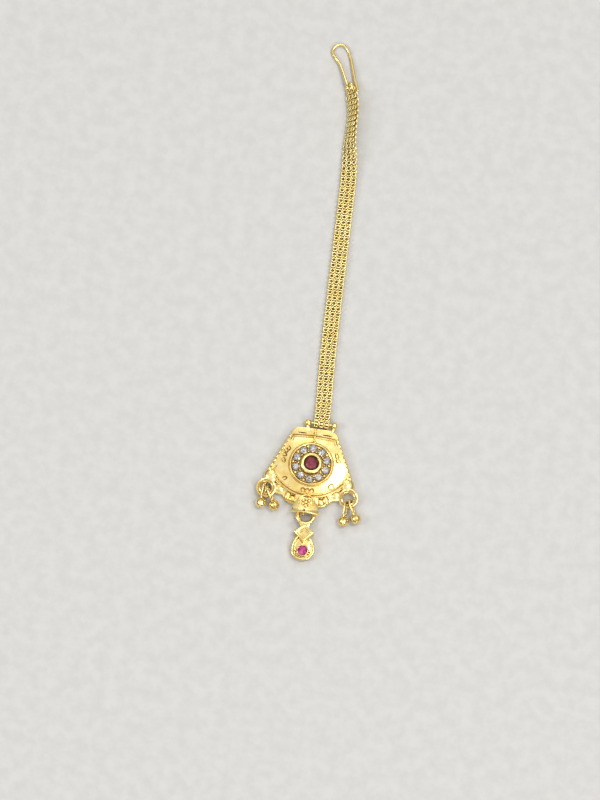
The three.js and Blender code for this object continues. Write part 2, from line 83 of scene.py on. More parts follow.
SLAB = dict(thick=1.4, top=9.2, shoulder=(3.3, 7.0), shoulder_out=2.4, side=(9.9, -2.2), arc_y=2.6, arc_r=10.9, arc_x=8.4)
FIELD = dict(crown=2.9, ball=34.3, top=7.0, corner=(4.9, 6.75), arc_r=10.1, arc_x=8.9, low=0.7, band=0.55)
CLUSTER = dict(outer=5.15, inner=4.72, rim=3.12, floor=2.72, bezel_out=2.58, bezel_in=1.76, bezel_top=4.28, well=2.6)
STONES = dict(count=10, circle=3.7, radius=0.9, culet=2.5)
GRANULES = dict(count=9, radius=0.56, z=1.2, top=(5.75, 6.7), bottom=(9.8, -2.0))
LOBE = dict(x=9.0, y=-3.55, radius=1.85, tall=1.9)
RINGS = dict(left=(-9.9, -6.75), right=(9.8, -6.75), outer=2.4, inner=1.3, z=1.2)
BELL = dict(neck=3.0, neck_y=-10.1, start=-7.9, tip=(3.65, -12.3), hem=-12.0, crown=2.9, curve=8.33, wall=0.5)
ROD = dict(y=10.4, z=1.3, radius=0.3, left=-2.0, right=4.3, left_ball=0.85, right_ball=0.8)
DROP = dict(x=0.3, y=-12.26, lean=2.3)
TEAR = dict(apex=-3.0, wide=-8.5, half=2.82, low=-11.0, flare=0.9, top=1.3)
DROP_STONE_Y = -8.6
WIRE = 0.365
CHAIN = dict(width=3.9, thick=1.2, pitch=1.33, columns=3, aside=1.25, ring=0.495, wire=0.17, layer=0.34)

# The chain's middle: place along Y, place across, turn in degrees and lift off the surface.
CHAIN_ROUTE = [
    dict(y=10.4, x=1.15, turn=0, width=3.9, lift=0.7),
    dict(y=13.0, x=1.14, turn=0, width=3.9, lift=0.3),
    dict(y=16.0, x=1.05, turn=0, width=3.9, lift=0),
    dict(y=25.6, x=0.62, turn=0, width=3.9, lift=0),
    dict(y=33.9, x=0.4, turn=0, width=3.9, lift=0),
    dict(y=60.7, x=0.03, turn=0, width=3.9, lift=0),
    dict(y=70.0, x=-0.12, turn=4, width=3.9, lift=0),
    dict(y=75.1, x=-0.4, turn=26, width=3.9, lift=0),
    dict(y=79.2, x=-0.93, turn=48, width=3.9, lift=0),
    dict(y=83.3, x=-1.09, turn=60, width=3.9, lift=0),
    dict(y=87.5, x=-1.2, turn=60, width=3.9, lift=0),
    dict(y=90.3, x=-1.68, turn=54, width=3.9, lift=0),
    dict(y=91.5, x=-2.05, turn=51, width=3.6, lift=0.1),
    dict(y=92.8, x=-2.5, turn=48, width=2.4, lift=0.4),
]

HOOK_ROUTE = [
    (-3.3, 93.7, 1.6), (-4.2, 95.7, 1.25), (-5.05, 97.6, 0.95), (-6.0, 99.3, 0.7), (-7.2, 100.7, 0.5),
    (-7.9, 101.95, 0.4), (-7.5, 103.25, 0.37), (-6.35, 103.9, 0.37), (-5.15, 103.6, 0.37),
    (-4.2, 102.6, 0.37), (-3.5, 101.1, 0.4), (-2.9, 99.3, 0.5), (-2.2, 97.1, 0.65), (-0.8, 93.2, 0.9),
]

# Ball drops: ball centre and the far end of its wire link.
GHUNGROOS = dict(
    ghungroo_left_outer=((-10.7, -10.6), (-10.15, -5.83)),
    ghungroo_left_inner=((-7.5, -10.8), (-9.51, -6.44)),
    ghungroo_right_inner=((9.35, -12.5), (9.55, -7.7)),
    ghungroo_right_outer=((12.2, -11.5), (10.25, -7.11)),
)
GHUNGROO = dict(ball=1.3, wire=0.25, reach=4.8, half=1.0, tilt=70)

# Slits through the plate above the field: place, turn in degrees and length.
SLITS = [(-3.1, 7.75, 0, 2.2), (2.9, 7.75, -2, 2.4)]

# How much the bell's wall rises at each line across it, towards its hem.
FLARE = {-10.9: 0.04, -11.2: 0.08, -11.5: 0.12, -11.8: 0.16, -12.05: 0.2}

# The flat web that carries the petals: right half, from the bottom middle up.
WEB = [(0, -9.9), (3.0, -9.9), (4.1, -9.6), (5.1, -8.8), (6.0, -7.9), (7.7, -7.7), (8.4, -5.2), (0, -6.0)]

# Petals between the corner rings and the bell: place, half sizes, turn and height.
PETALS = [
    (6.75, -6.35, 1.5, 1.2, 20, 1.6), (4.55, -7.85, 0.95, 1.35, 15, 1.7), (3.3, -8.65, 1.3, 1.0, 0, 1.9),
]

# Marks on the field: place, turn, and half length and width.
MARKS = [
    (-6.35, 2.75, 40, 0.46, 0.26), (-5.75, 3.35, 10, 0.42, 0.24), (-6.6, 1.7, 70, 0.44, 0.26), (-6.7, 0.4, 30, 0.5, 0.28),
    (5.85, 2.85, 20, 0.55, 0.28), (6.3, 1.7, 75, 0.45, 0.28), (-5.9, -4.1, 110, 0.5, 0.24), (5.45, -4.75, 0, 0.5, 0.48),
    (-1.15, -6.4, 15, 0.42, 0.3), (-0.1, -6.5, 0, 0.46, 0.32), (0.95, -6.4, -15, 0.42, 0.3),
]

# Solder over the chain's end: place, half sizes and turn.
SOLDER = [
    (-2.8, 93.9, 1.6, (1.15, 0.95, 0.72), (0, -48, 20)),
    (-3.1, 93.35, 1.3, (0.85, 0.75, 0.62), (0, -30, 35)),
    (-2.4, 93.3, 1.95, (0.8, 0.75, 0.6), (0, -55, 0)),
]

# ---- Camera and light ----

VIEW = dict(elevation=76, lean=7.6, distance=4800, lens=907.2, aim=(-4.66, 15.68, 1.0))


def camera():
    data = bpy.data.cameras.new("camera")
    data.lens = VIEW["lens"]
    data.clip_end = 10
    cam = bpy.data.objects.new("camera", data)
    bpy.context.scene.collection.objects.link(cam)
    rise, lean = math.radians(VIEW["elevation"]), math.radians(VIEW["lean"])
    back = Vector((0, -math.cos(rise), math.sin(rise)))
    across, up = Vector((1, 0, 0)), Vector((0, math.sin(rise), math.cos(rise)))
    right = across * math.cos(lean) + up * math.sin(lean)
    top = up * math.cos(lean) - across * math.sin(lean)
    spot = (HUB + Vector(VIEW["aim"]) + back * VIEW["distance"]) * MM
    turn = Matrix((right, top, back)).transposed().to_4x4()
    cam.matrix_world = Matrix.Translation(spot) @ turn
    bpy.context.scene.camera = cam


def area_light(name, aim, place, size, power, colour=(1, 1, 1)):
    data = bpy.data.lights.new(name, "AREA")
    data.shape, data.size, data.size_y = "RECTANGLE", size[0], size[1]
    data.energy, data.color = power, colour
    lamp = bpy.data.objects.new(name, data)
    bpy.context.scene.collection.objects.link(lamp)
    lamp.location = place
    lamp.visible_camera = False
    lamp.rotation_euler = (Vector(aim) - Vector(place)).to_track_quat("-Z", "Y").to_euler()


def studio():
    """A bright ceiling that fades to dimmer walls, with soft boxes over, in front of and beside the table."""
    centre = (0, 0, 0)
    area_light("overhead", centre, (0.34, 0.05, 0.87), (0.3, 0.34), 2.4, (1.0, 0.99, 0.96))
    area_light("front", centre, (0.4, -0.5, 0.5), (0.22, 0.16), 1.5, (1.0, 0.97, 0.92))
    area_light("side", centre, (-0.55, -0.2, 0.5), (0.16, 0.26), 1.4, (0.96, 0.98, 1.0))
    area_light("back", centre, (-0.05, 0.6, 0.65), (0.4, 0.22), 1.1, (1.0, 0.98, 0.95))
    world = bpy.data.worlds.new("studio")
    bpy.context.scene.world = world
    world.use_nodes = True
    tree = world.node_tree
    place = tree.nodes.new("ShaderNodeTexCoord")
    split = tree.nodes.new("ShaderNodeSeparateXYZ")
    rise = tree.nodes.new("ShaderNodeMapRange")
    rise.interpolation_type = "SMOOTHSTEP"
    for key, value in {"From Min": 0.25, "From Max": 0.8, "To Min": 0.2, "To Max": 0.85}.items():
        rise.inputs[key].default_value = value
    tree.links.new(place.outputs["Generated"], split.inputs["Vector"])
    tree.links.new(split.outputs["Z"], rise.inputs["Value"])
    tree.links.new(rise.outputs["Result"], tree.nodes["Background"].inputs["Strength"])
    tree.nodes["Background"].inputs["Color"].default_value = (1.0, 0.99, 0.97, 1)
    bpy.context.scene.view_settings.view_transform = "Standard"


# ---- Modelling helpers ----


def deselect():
    if bpy.context.mode != "OBJECT":
        bpy.ops.object.mode_set(mode="OBJECT")
    bpy.ops.object.select_all(action="DESELECT")


def only(obj):
    deselect()
    obj.select_set(True)
    bpy.context.view_layer.objects.active = obj


def named(name):
    obj = bpy.context.object
    obj.name = obj.data.name = name
    return obj


@contextmanager
def editing(obj, select="SELECT"):
    only(obj)
    bpy.ops.object.mode_set(mode="EDIT")
    if obj.type == "MESH":
        bpy.ops.mesh.select_mode(type="VERT")
        bpy.ops.mesh.select_all(action=select)
    yield obj
    bpy.ops.object.mode_set(mode="OBJECT")


def pick(obj, kind, test):
    """In edit mode, selects the vertices, edges or faces whose middle and normal, in mm, pass a test."""
    bpy.ops.mesh.select_all(action="DESELECT")
    bpy.ops.mesh.select_mode(type=dict(verts="VERT", edges="EDGE", faces="FACE")[kind])
    shape = bmesh.from_edit_mesh(obj.data)
    for part in getattr(shape, kind):
        if kind == "verts":
            spot, way = part.co, part.normal
        elif kind == "edges":
            spot = (part.verts[0].co + part.verts[1].co) / 2
            way = part.verts[1].co - part.verts[0].co
        else:
            spot, way = part.calc_center_median(), part.normal
        part.select_set(bool(test(spot / MM, way)))
    shape.select_flush_mode()
    bmesh.update_edit_mesh(obj.data)


def baked(obj):
    """Puts the object's place, turn and size into its mesh."""
    only(obj)
    bpy.ops.object.transform_apply(location=True, rotation=True, scale=True)
    return obj


def moved(obj, by=(0, 0, 0), turn=(0, 0, 0), size=(1, 1, 1)):
    """Sizes, turns (degrees) and moves (mm) a piece, and puts that into its mesh."""
    obj.scale = size
    obj.rotation_euler = [math.radians(angle) for angle in turn]
    obj.location = Vector(by) * MM
    return baked(obj)


def copy_of(obj, name, **how):
    other = obj.copy()
    other.data = obj.data.copy()
    other.name = other.data.name = name
    bpy.context.scene.collection.objects.link(other)
    return moved(other, **how)


def discard(*objects):
    for obj in objects:
        bpy.data.objects.remove(obj)


def joined(name, pieces):
    deselect()
    for obj in pieces:
        obj.select_set(True)
    bpy.context.view_layer.objects.active = pieces[0]
    bpy.ops.object.join()
    return named(name)


def modified(obj, kind, **settings):
    only(obj)
    modifier = obj.modifiers.new(kind.lower(), kind)
    for key, value in settings.items():
        setattr(modifier, key, value)
    bpy.ops.object.modifier_apply(modifier=modifier.name)
    return obj


def boolean(obj, other, how):
    modified(obj, "BOOLEAN", operation=how, object=other, solver="EXACT")
    discard(other)
    return obj


def rounded(obj, width, segments=3, angle=30):
    return modified(
        obj, "BEVEL", width=width * MM, segments=segments, limit_method="ANGLE",
        angle_limit=math.radians(angle), use_clamp_overlap=True, miter_outer="MITER_ARC",
    )


def smoothed(obj, angle=SMOOTH):
    only(obj)
    bpy.ops.object.shade_smooth_by_angle(angle=angle)
    return obj


def closed(obj):
    """Merges doubles and turns the faces outwards."""
    with editing(obj):
        bpy.ops.mesh.remove_doubles(threshold=0.002 * MM)
        bpy.ops.mesh.normals_make_consistent(inside=False)
    return obj


def traced(name, points, shut=True):
    """Extrudes one vertex from point to point, in mm, and fills a closed outline."""
    bpy.ops.object.select_all(action="DESELECT")
    bpy.ops.mesh.primitive_plane_add(size=MM)
    obj = named(name)
    spots = [Vector(point).to_3d() * MM for point in points]
    with editing(obj):
        bpy.ops.mesh.merge(type="CENTER")
        bpy.ops.transform.translate(value=spots[0])
        for before, after in zip(spots, spots[1:]):
            bpy.ops.mesh.extrude_vertices_move(TRANSFORM_OT_translate=dict(value=after - before))
        if shut:
            bpy.ops.mesh.select_all(action="SELECT")
            bpy.ops.mesh.edge_face_add()
    return obj


def slab(name, points, low, high):
    """A flat plate between two heights, from its outline."""
    obj = traced(name, points)
    with editing(obj):
        bpy.ops.transform.translate(value=(0, 0, low * MM))
        bpy.ops.mesh.extrude_region_move(TRANSFORM_OT_translate=dict(value=(0, 0, (high - low) * MM)))
        bpy.ops.mesh.select_all(action="SELECT")
        bpy.ops.mesh.normals_make_consistent(inside=False)
    return obj


def lathed(name, profile, steps=64):
    """Spins a profile of (radius, height) pairs, in mm, once round Z."""
    obj = traced(name, [(radius, 0, height) for radius, height in profile], shut=False)
    with editing(obj):
        bpy.ops.mesh.spin(steps=steps, angle=2 * math.pi, center=(0, 0, 0), axis=(0, 0, 1))
    return closed(obj)


def arc(x, y, across, along, start, end, steps):
    angles = [math.radians(start + (end - start) * i / steps) for i in range(steps + 1)]
    return [(x + across * math.cos(a), y + along * math.sin(a)) for a in angles]


def bow(start, pull, end, steps):
    """Points of a curve from start to end that is pulled towards a third point, without its start."""
    points = []
    for i in range(1, steps + 1):
        t = i / steps
        points.append(tuple(
            (1 - t) ** 2 * a + 2 * t * (1 - t) * b + t * t * c for a, b, c in zip(start, pull, end)
        ))
    return points


def mirrored(half):
    """A closed outline from its right half, given from the bottom middle to the top middle."""
    return half + [(-x, y) for x, y in reversed(half) if x > 1e-6]


def grown(points, by):
    """A convex outline moved outwards by a constant distance."""
    out = []
    for i, point in enumerate(points):
        before, here, after = (Vector(points[k % len(points)]) for k in (i - 1, i, i + 1))
        into, onward = (here - before).normalized(), (after - here).normalized()
        way = Vector((into.y + onward.y, -into.x - onward.x)).normalized()
        out.append(tuple(here + way * by / way.dot(Vector((into.y, -into.x)))))
    return out


def bead(name, radius, place=(0, 0, 0), size=(1, 1, 1), sides=20):
    bpy.ops.object.select_all(action="DESELECT")
    bpy.ops.mesh.primitive_uv_sphere_add(segments=sides, ring_count=sides // 2 + 1, radius=radius * MM)
    return moved(named(name), by=place, size=size)


def rod(name, radius, length, place, turn, sides=24):
    bpy.ops.object.select_all(action="DESELECT")
    bpy.ops.mesh.primitive_cylinder_add(vertices=sides, radius=radius * MM, depth=length * MM)
    return moved(named(name), by=place, turn=turn)


def block(name, size, place, turn=(0, 0, 0)):
    bpy.ops.object.select_all(action="DESELECT")
    bpy.ops.mesh.primitive_cube_add(size=MM)
    return moved(moved(named(name), size=size), by=place, turn=turn)


def hoop(name, radius, wire, place=(0, 0, 0), turn=(0, 0, 0), size=(1, 1, 1), sides=(32, 12)):
    bpy.ops.object.select_all(action="DESELECT")
    bpy.ops.mesh.primitive_torus_add(
        major_radius=radius * MM, minor_radius=wire * MM, major_segments=sides[0], minor_segments=sides[1],
    )
    return moved(moved(named(name), size=size), by=place, turn=turn)


def bent_wire(name, route, radius, sides=3, smooth=6):
    """A round wire along a smooth curve through the route's points."""
    obj = traced(name, route, shut=False)
    only(obj)
    bpy.ops.object.convert(target="CURVE")
    curve = bpy.context.object
    bpy.ops.object.mode_set(mode="EDIT")
    bpy.ops.curve.select_all(action="SELECT")
    bpy.ops.curve.spline_type_set(type="BEZIER")
    bpy.ops.curve.handle_type_set(type="AUTOMATIC")
    bpy.ops.object.mode_set(mode="OBJECT")
    curve.data.bevel_depth, curve.data.bevel_resolution = radius * MM, sides
    curve.data.resolution_u, curve.data.use_fill_caps = smooth, True
    bpy.ops.object.convert(target="MESH")
    return closed(named(name))


def looped_wire(name, points, radius, sides=3):
    """A round wire along a closed outline."""
    obj = traced(name, [*points, points[0]], shut=False)
    with editing(obj):
        bpy.ops.mesh.remove_doubles(threshold=0.002 * MM)
    bpy.ops.object.convert(target="CURVE")
    curve = bpy.context.object
    curve.data.bevel_depth, curve.data.bevel_resolution = radius * MM, sides
    bpy.ops.object.convert(target="MESH")
    return closed(named(name))


def button(name, radius, tall, place=(0, 0, 0), size=(1, 1, 1), turn=(0, 0, 0), steps=32):
    """A flat-backed button with a rounded top."""
    bend = arc(0, 0.45 * tall, radius, 0.55 * tall, 0, 90, 8)
    obj = lathed(name, [(0, 0), (radius - 0.2, 0), (radius, 0.2), *bend[:-1], (0, tall)], steps)
    return moved(moved(obj, size=size), by=place, turn=turn)


# ---- Plate ----


def arc_end(across, radius):
    """Angle at which the plate's lower arc reaches a given X."""
    return 360 - math.degrees(math.acos(across / radius))


def plate_outline():
    lower = arc(0, SLAB["arc_y"], SLAB["arc_r"], SLAB["arc_r"], 270, arc_end(SLAB["arc_x"], SLAB["arc_r"]), 16)
    x, y = SLAB["shoulder"]
    shoulder = arc(x, y, SLAB["shoulder_out"], SLAB["top"] - y, 0, 90, 10)
    return mirrored([*lower, SLAB["side"], *shoulder])


def field_outline():
    lower = arc(0, SLAB["arc_y"], FIELD["arc_r"], FIELD["arc_r"], 270, arc_end(FIELD["arc_x"], FIELD["arc_r"]), 18)
    return mirrored([*lower, FIELD["corner"], (0, FIELD["top"])])


def dome_z(x, y):
    """Height of the domed field over a place on the plate."""
    return FIELD["crown"] - FIELD["ball"] + math.sqrt(FIELD["ball"] ** 2 - x * x - y * y)


def on_dome(points, above=0.0):
    return [(x, y, dome_z(x, y) + above) for x, y in points]


def back_plate():
    plate = rounded(slab("back_plate", plate_outline(), 0, SLAB["thick"]), 0.22)
    for x, y, turn, length in SLITS:
        cutter = moved(bead("slit", 1, size=(length / 2, 0.16, 0.45)), by=(x, y, SLAB["thick"]), turn=(0, 0, turn))
        boolean(plate, cutter, "DIFFERENCE")
    return plate


def domed_field():
    rings, reach = 14, 12.4
    cap = [(reach * i / rings, dome_z(reach * i / rings, 0)) for i in range(rings, -1, -1)]
    dome = lathed("dome", [(0, 0.3), (reach, 0.3), *cap], 96)
    body = slab("field", grown(field_outline(), FIELD["band"]), FIELD["low"], 5)
    field = boolean(body, dome, "INTERSECT")
    groove = hoop("groove", CLUSTER["outer"] + 0.12, 0.2, place=(0, 0, 2.52), sides=(96, 10))
    well = rod("well", CLUSTER["bezel_in"], 4, (0, 0, CLUSTER["well"] + 2), (0, 0, 0), 48)
    boolean(field, groove, "DIFFERENCE")
    return engraved(boolean(field, well, "DIFFERENCE"))


def borders():
    """The raised lines round the field and the beaded cords down its slanted sides."""
    edge = field_outline()
    made = [
        looped_wire("inner_line", on_dome(grown(edge, -0.16), 0.04), 0.13),
        looped_wire("outer_line", on_dome(grown(edge, 0.38), 0.08), 0.17),
    ]
    top, bottom = Vector(GRANULES["top"]), Vector(GRANULES["bottom"])
    along = bottom - top
    slant = math.degrees(math.atan2(along.x, -along.y))
    inward = Vector((along.y, -along.x)).normalized()
    for side in (-1, 1):
        for i in range(GRANULES["count"]):
            spot = top + along * (i / (GRANULES["count"] - 1)) + inward * 0.16
            grain = bead("granule", 1, size=(0.54, 0.63, 0.58))
            made.append(moved(grain, by=(side * spot.x, spot.y, GRANULES["z"]), turn=(0, 0, side * slant)))
        ends = [top + inward * 0.74, bottom + inward * 0.74]
        made.append(bent_wire("side_line", [(side * end.x, end.y, 1.55) for end in ends], 0.24, smooth=2))
    return made


def lobes():
    """A ribbed shell above each corner ring."""
    made = []
    for side in (-1, 1):
        place = (side * LOBE["x"], LOBE["y"], 0)
        made.append(button("lobe", LOBE["radius"], LOBE["tall"], place))
        for across, lean in ((-0.75, -22), (-0.05, 0), (0.65, 22)):
            rib = arc(0, 0, LOBE["radius"] * 0.78, LOBE["tall"] - 0.04 - 0.2 * across * across, 55, 125, 8)
            strand = bent_wire("rib", [(across, -x, z) for x, z in rib], 0.12)
            made.append(moved(strand, by=place, turn=(0, 0, lean)))
    return made


def corner_rings():
    inner, outer, low = RINGS["inner"], RINGS["outer"], 0.8
    section = [
        (inner + 0.18, low), (outer - 0.2, low), (outer, low + 0.2), (outer, 1.42), (outer - 0.1, 1.58),
        (outer - 0.26, 1.62), (outer - 0.42, 1.54), (outer - 0.53, 1.3), (inner + 0.47, 1.3),
        (inner + 0.38, 1.52), (inner + 0.24, 1.6), (inner + 0.08, 1.52), (inner, 1.38), (inner, low + 0.2),
        (inner + 0.18, low),
    ]
    return [moved(lathed("corner_ring", section, 56), by=(*RINGS[side], 0)) for side in ("left", "right")]


def petals():
    made = []
    for x, y, across, along, turn, tall in PETALS:
        for side in (-1, 1):
            made.append(button("petal", 1, tall, (side * x, y, 0), (across, along, 1), (0, 0, side * turn)))
    return made


def engraved(field):
    """Cuts the border's grooves, petal outlines and small marks, one by one, into the field."""
    for out, radius in ((0.12, 0.17), (-0.42, 0.12)):
        groove = looped_wire("groove", on_dome(grown(field_outline(), out), 0.03), radius)
        boolean(field, groove, "DIFFERENCE")
    for x, y, turn, long, wide in MARKS:
        ring = moved(hoop("mark", 1, 0.36, sides=(24, 8)), size=(1.4 * wide, 1.25 * long, 0.8))
        boolean(field, moved(ring, by=(x, y, dome_z(x, y) + 0.03), turn=(0, 0, turn)), "DIFFERENCE")
    for side in (-1, 1):
        sweep = [(side * x, y) for x, y in arc(0, 0.5, 7.0, 8.0, 285, 312, 8)]
        boolean(field, bent_wire("sweep", on_dome(sweep, 0.06), 0.13), "DIFFERENCE")
    return field


def bead_strip():
    """Small beads from the chain down to a cup over the collar."""
    made = [bead("strip_bead", 0.34, (0, y, SLAB["thick"] + 0.12)) for y in (8.85, 8.4, 7.95, 7.5)]
    made += [bead("strip_bead", 0.3, (0, y, dome_z(0, y) + 0.06)) for y in (6.85, 6.4, 5.95)]
    cup = arc(0, 5.95, 0.62, 0.5, 200, 340, 10)
    made.append(bent_wire("cup", on_dome(cup, 0.06), 0.15))
    return made


def chain_bar():
    left, right = ROD["left"], ROD["right"]
    middle_x, length = (left + right) / 2, right - left
    made = [rod("bar", ROD["radius"], length, (middle_x, ROD["y"], ROD["z"]), (0, 90, 0))]
    for x, radius, foot in ((left, ROD["left_ball"], 0.45), (right, ROD["right_ball"], -0.5)):
        made.append(bead("stud", radius, (x, ROD["y"], ROD["z"]), sides=32))
        route = [(x, ROD["y"] - 0.3, 1.2), (x + foot * 0.2, 9.5, 1.05), (x + foot, 8.4, 0.95)]
        made.append(bent_wire("lug", route, 0.5, sides=5))
    return made


# ---- Stone cluster ----


def setting():
    c = CLUSTER
    top, rim = c["bezel_top"], c["rim"]
    section = [
        (0, 1.5), (c["outer"], 1.5), (c["outer"], rim - 0.2), (c["outer"] - 0.08, rim - 0.05),
        (c["outer"] - 0.22, rim), (c["inner"] + 0.08, rim - 0.04), (c["inner"], rim - 0.14),
        (c["inner"] - 0.04, c["floor"] + 0.06), (c["inner"] - 0.12, c["floor"]),
        (c["bezel_out"] + 0.12, c["floor"]), (c["bezel_out"], c["floor"] + 0.12), (c["bezel_out"] - 0.04, top - 0.42),
        (c["bezel_out"] - 0.12, top - 0.16), (c["bezel_out"] - 0.3, top - 0.02), (c["bezel_in"] + 0.28, top),
        (c["bezel_in"] + 0.1, top - 0.08), (c["bezel_in"], top - 0.28), (c["bezel_in"] - 0.03, 3.6),
        (1.5, 3.55), (1.5, c["well"]), (0, c["well"]),
    ]
    seat = lathed("seat", section, 96)
    cutters, beads = [], []
    for i in range(STONES["count"]):
        angle = math.radians(90 + 36 * i)
        spot = (STONES["circle"] * math.cos(angle), STONES["circle"] * math.sin(angle), 3.2)
        cutters.append(rod("well", STONES["radius"] * 0.86, 1.5, spot, (0, 0, 0), 20))
        gap = angle + math.radians(18)
        for radius, circle, z in ((0.36, 4.3, 3.1), (0.26, 3.1, 3.12), (0.17, 3.72, 3.1)):
            beads.append(bead("claw", radius, (circle * math.cos(gap), circle * math.sin(gap), z), sides=14))
    boolean(seat, joined("wells", cutters), "DIFFERENCE")
    return [seat, *beads]


# ---- Bell under the plate ----


def bell():
    f = BELL
    outline = mirrored([
        (0, f["hem"]), f["tip"], (f["neck"] + 0.12, f["hem"] + 0.55), (f["neck"], f["neck_y"]), (2.5, -9.3), (1.7, f["start"] - 0.3),
    ])
    span = 4.3
    xs = [span * (i / 20 - 1) for i in range(41)]

    def arch(x, drop):
        return (x, f["crown"] - drop - f["curve"] + math.sqrt(f["curve"] ** 2 - x * x))

    band = [arch(x, 0) for x in reversed(xs)] + [arch(x, f["wall"]) for x in xs]
    shell = moved(slab("shell", band, -f["start"], 13.4), turn=(90, 0, 0))
    body = boolean(slab("bell", outline, 0, 5), shell, "INTERSECT")
    with editing(body):
        for y in FLARE:
            bpy.ops.mesh.select_all(action="SELECT")
            bpy.ops.mesh.bisect(plane_co=(0, y * MM, 0), plane_no=(0, 1, 0))
        for y, lift in FLARE.items():
            pick(body, "verts", lambda spot, way: spot.y < y + 0.01)
            bpy.ops.transform.translate(value=(0, 0, lift * MM))
    for x, y, radius in ((-0.3, -11.45, 0.36), (-0.25, -10.55, 0.2)):
        boolean(body, rod("hole", radius, 3, (x, y, 2.8), (0, 0, 0)), "DIFFERENCE")
    rounded(body, 0.1, 2, 50)
    rise = sum(FLARE.values())
    hem = [(x, f["hem"] + 0.12 - 0.3 * abs(x / f["tip"][0]) ** 1.5, arch(x, 0)[1] + rise - 0.1) for x in
           (-3.5, -2.6, -1.7, -0.8, 0, 0.8, 1.7, 2.6, 3.5)]
    made = [body, bent_wire("hem", hem, 0.2)]
    made.append(rounded(block("neck", (5.9, 1.9, 2.0), (0, -8.55, 1.2)), 0.3))
    made.append(rounded(slab("web", mirrored(WEB), 0.25, 1.25), 0.15))
    made.append(button("boss", 1, 1.2, (0, -9.3, 1.8), (1.9, 1.65, 1)))
    brim = arc(0, -9.2, 1.85, 1.55, -25, 205, 22)
    made.append(bent_wire("boss_rim", [(x, y, 2.85) for x, y in brim], 0.2))
    made.append(bead("rosette", 0.45, (0, -9.4, 3.12)))
    for i in range(6):
        angle = math.radians(60 * i + 30)
        made.append(bead("rosette", 0.43, (0.8 * math.cos(angle), -9.4 + 0.8 * math.sin(angle), 3.05)))
    made.append(hoop("eye", 1, 0.22, place=(-0.35, -10.8, 1.45), turn=(0, 90, 0), size=(1.15, 1.36, 1.25)))
    return made


# ---- Drop ----


def tear_outline(shrink=1.0):
    t = TEAR
    half = arc(0, t["wide"], t["half"], t["wide"] - t["low"], 270, 360, 14)
    for i in range(1, 13):
        share = i / 12
        half.append((t["half"] * math.sin(math.pi / 2 * (1 - share) ** t["flare"]), t["wide"] + 5.5 * share))
    centre = t["wide"]
    return [(x * shrink, centre + (y - centre) * shrink) for x, y in mirrored(half)]


def drop():
    made = [hoop("loop", 1.93, 0.5, place=(0, 0, 1.1), sides=(56, 18))]
    arms = mirrored([(0, -3.3), (1.25, -3.3), (1.1, -2.7), (1.5, -1.75), (0.5, -1.7), (0, -2.0)])
    made.append(rounded(slab("arms", arms, 0.5, 1.62), 0.2))
    diamond = slab("diamond", [(0, -6.75), (2.5, -4.25), (0, -2.3), (-2.5, -4.25)], 0.3, 2.1)
    with editing(diamond):
        pick(diamond, "faces", lambda spot, way: way.z > 0.9)
        bpy.ops.mesh.inset(thickness=0.42 * MM, depth=0)
        bpy.ops.transform.translate(value=(0, 0, 0.14 * MM))
        bpy.ops.mesh.inset(thickness=0.12 * MM, depth=-0.1 * MM)
    rounded(diamond, 0.12, 2, 25)
    for side in (-1, 1):
        for reach, length, off in ((0.62, 1.1, 0.95), (0.6, 0.75, 1.5)):
            cutter = block("line", (length, 0.14, 0.5), (0, 0, 0))
            spot = (side * reach, -2.3 - 0.78 * reach - off, 2.2)
            boolean(diamond, moved(cutter, by=spot, turn=(0, 0, -38 * side)), "DIFFERENCE")
    boolean(diamond, bead("dimple", 0.22, (0, -5.75, 2.2)), "DIFFERENCE")
    made.append(diamond)
    tear = rounded(slab("tear", tear_outline(0.97), 0, 1.15), 0.2)
    boolean(tear, rod("well", 1.0, 2, (0, DROP_STONE_Y, 1.8), (0, 0, 0), 32), "DIFFERENCE")
    boolean(tear, bead("notch", 0.34, (0, -10.15, 1.2), (1, 0.6, 1.3)), "DIFFERENCE")
    made.append(tear)
    made.append(looped_wire("tear_rim", [(x, y, 1.2) for x, y in tear_outline(0.9)], 0.3, 5))
    made.append(looped_wire("tear_line", [(x, y, 1.12) for x, y in tear_outline(0.7)], 0.16, 4))
    made.append(hoop("stone_seat", 1.27, 0.2, place=(0, DROP_STONE_Y, 1.32), sides=(40, 12)))
    for x, y, radius in ((1.62, -0.05, 0.3), (1.45, -0.7, 0.2)):
        for side in (-1, 1):
            made.append(bead("claw", radius, (side * x, DROP_STONE_Y + y, 1.42)))
    whole = joined("drop_metal", made)
    return moved(whole, by=(DROP["x"], DROP["y"], 0.1), turn=(0, 0, DROP["lean"]))


# ---- Ball drops ----


def ghungroo(name, ball_place, link_end):
    g = GHUNGROO
    bend = [(g["half"] * math.cos(a), g["reach"] - g["half"] + g["half"] * math.sin(a), 0) for a in
            (math.radians(30 * i) for i in range(7))]
    foot = [(0.3 * g["half"], 0.8, 0), (0.85 * g["half"], 1.9, 0), (g["half"], 3.0, 0)]
    route = foot + bend + [(-x, y, z) for x, y, z in reversed(foot)]
    turn = math.degrees(math.atan2(ball_place[0] - link_end[0], link_end[1] - ball_place[1]))
    place = (*ball_place, g["ball"])
    link = moved(bent_wire("link", route, g["wire"], sides=4), by=place, turn=(0, g["tilt"], turn))
    ball = bead("ball", g["ball"], sides=48)
    boolean(ball, hoop("seam", g["ball"], 0.2, turn=(0, 90, 0), sides=(64, 10)), "DIFFERENCE")
    boolean(ball, bead("slot_end", 0.3, (0, -0.85, 0.95)), "DIFFERENCE")
    cap = hoop("ball_cap", 0.42, 0.17, place=(0, 1.16, 0), turn=(90, 0, 0), sides=(28, 10))
    body = moved(joined("ball", [ball, cap]), by=place, turn=(0, 0, turn))
    return joined(name, [body, link])


# ---- Hook ----


